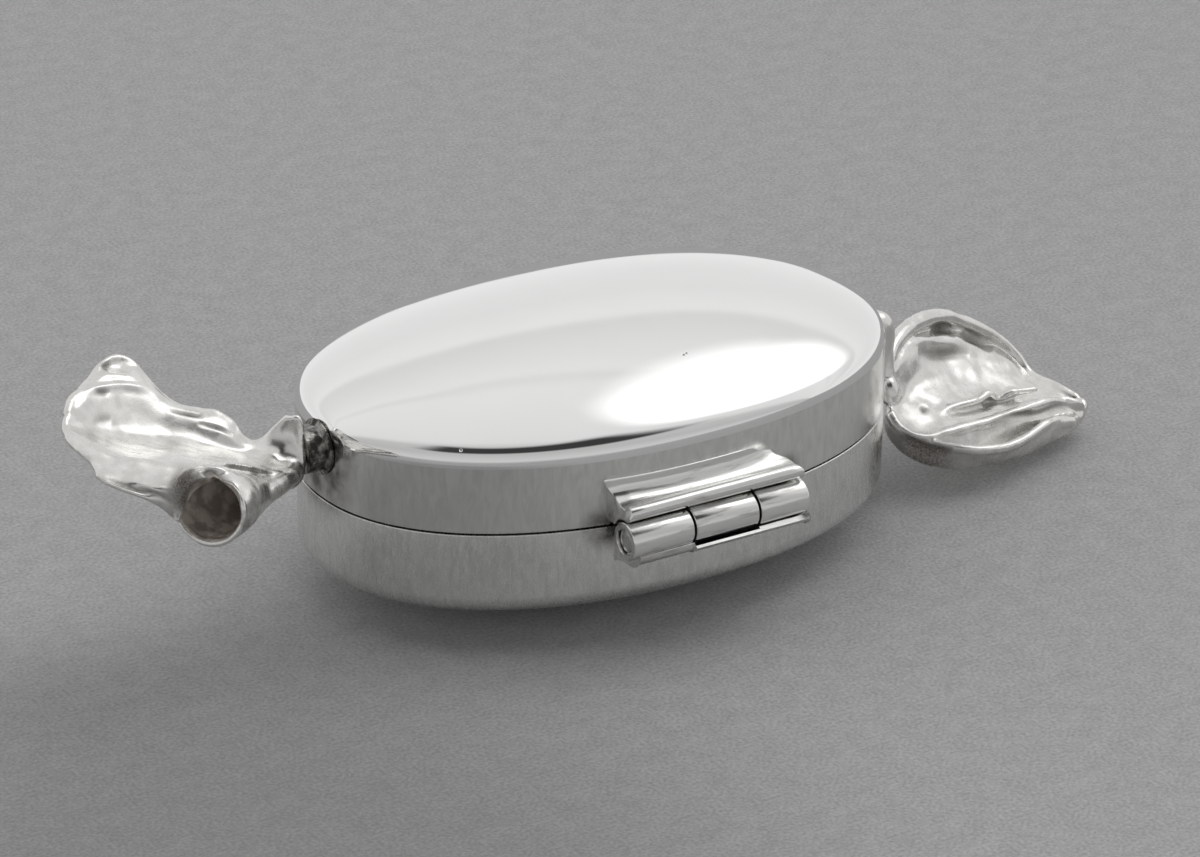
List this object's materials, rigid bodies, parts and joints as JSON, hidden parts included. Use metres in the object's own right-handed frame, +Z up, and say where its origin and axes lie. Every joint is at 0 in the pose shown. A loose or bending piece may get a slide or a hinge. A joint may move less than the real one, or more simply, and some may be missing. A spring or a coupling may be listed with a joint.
{
  "type": "sweet box",
  "caption": "Small oval silver box with a domed lid on a rear hinge, shaped like a wrapped sweet with a cast twisted wrapper end on a short stem at each end.",
  "frame": {"origin": "centre of the flat rest pad under the base", "axes": "+X along the box, towards the wrapper end with the drooping pea-pod fold; -Y towards the hinge; +Z up through the lid"},
  "size_m": [0.0758, 0.0298, 0.0177],
  "materials": {
    "base_wall": "polished silver, fine polishing marks",
    "base_bottom": "polished silver, fine cloth grain",
    "inner_rim": "bright polished silver",
    "base_hinge_bearer": "polished silver",
    "base_knuckle_left": "polished silver tube",
    "base_knuckle_right": "polished silver tube",
    "hinge_pin": "drawn silver wire",
    "lid_wall": "polished silver, fine polishing marks",
    "lid_dome": "mirror-polished silver",
    "lid_hinge_bearer": "polished silver",
    "lid_knuckle": "polished silver tube",
    "left_stem": "cast silver, darkened in the corners",
    "right_stem": "cast silver, darkened in the corners",
    "left_wrapper": "polished cast silver",
    "right_wrapper": "polished cast silver"
  },
  "bodies": {
    "base": {"base_wall": "base_wall", "base_bottom": "base_bottom", "inner_rim": "inner_rim", "base_hinge_bearer": "base_hinge_bearer", "base_knuckle_left": "base_knuckle_left", "base_knuckle_right": "base_knuckle_right", "hinge_pin": "hinge_pin"},
    "lid": {"lid_wall": "lid_wall", "lid_dome": "lid_dome", "lid_hinge_bearer": "lid_hinge_bearer", "lid_knuckle": "lid_knuckle", "left_stem": "left_stem", "left_wrapper": "left_wrapper", "right_stem": "right_stem", "right_wrapper": "right_wrapper"}
  },
  "joints": [
    {"name": "lid_hinge", "type": "hinge", "parent": "base", "child": "lid", "pos_m": [0, -0.01487, 0.00803], "axis": [1, 0, 0], "range_deg": [0, 105]}
  ]
}
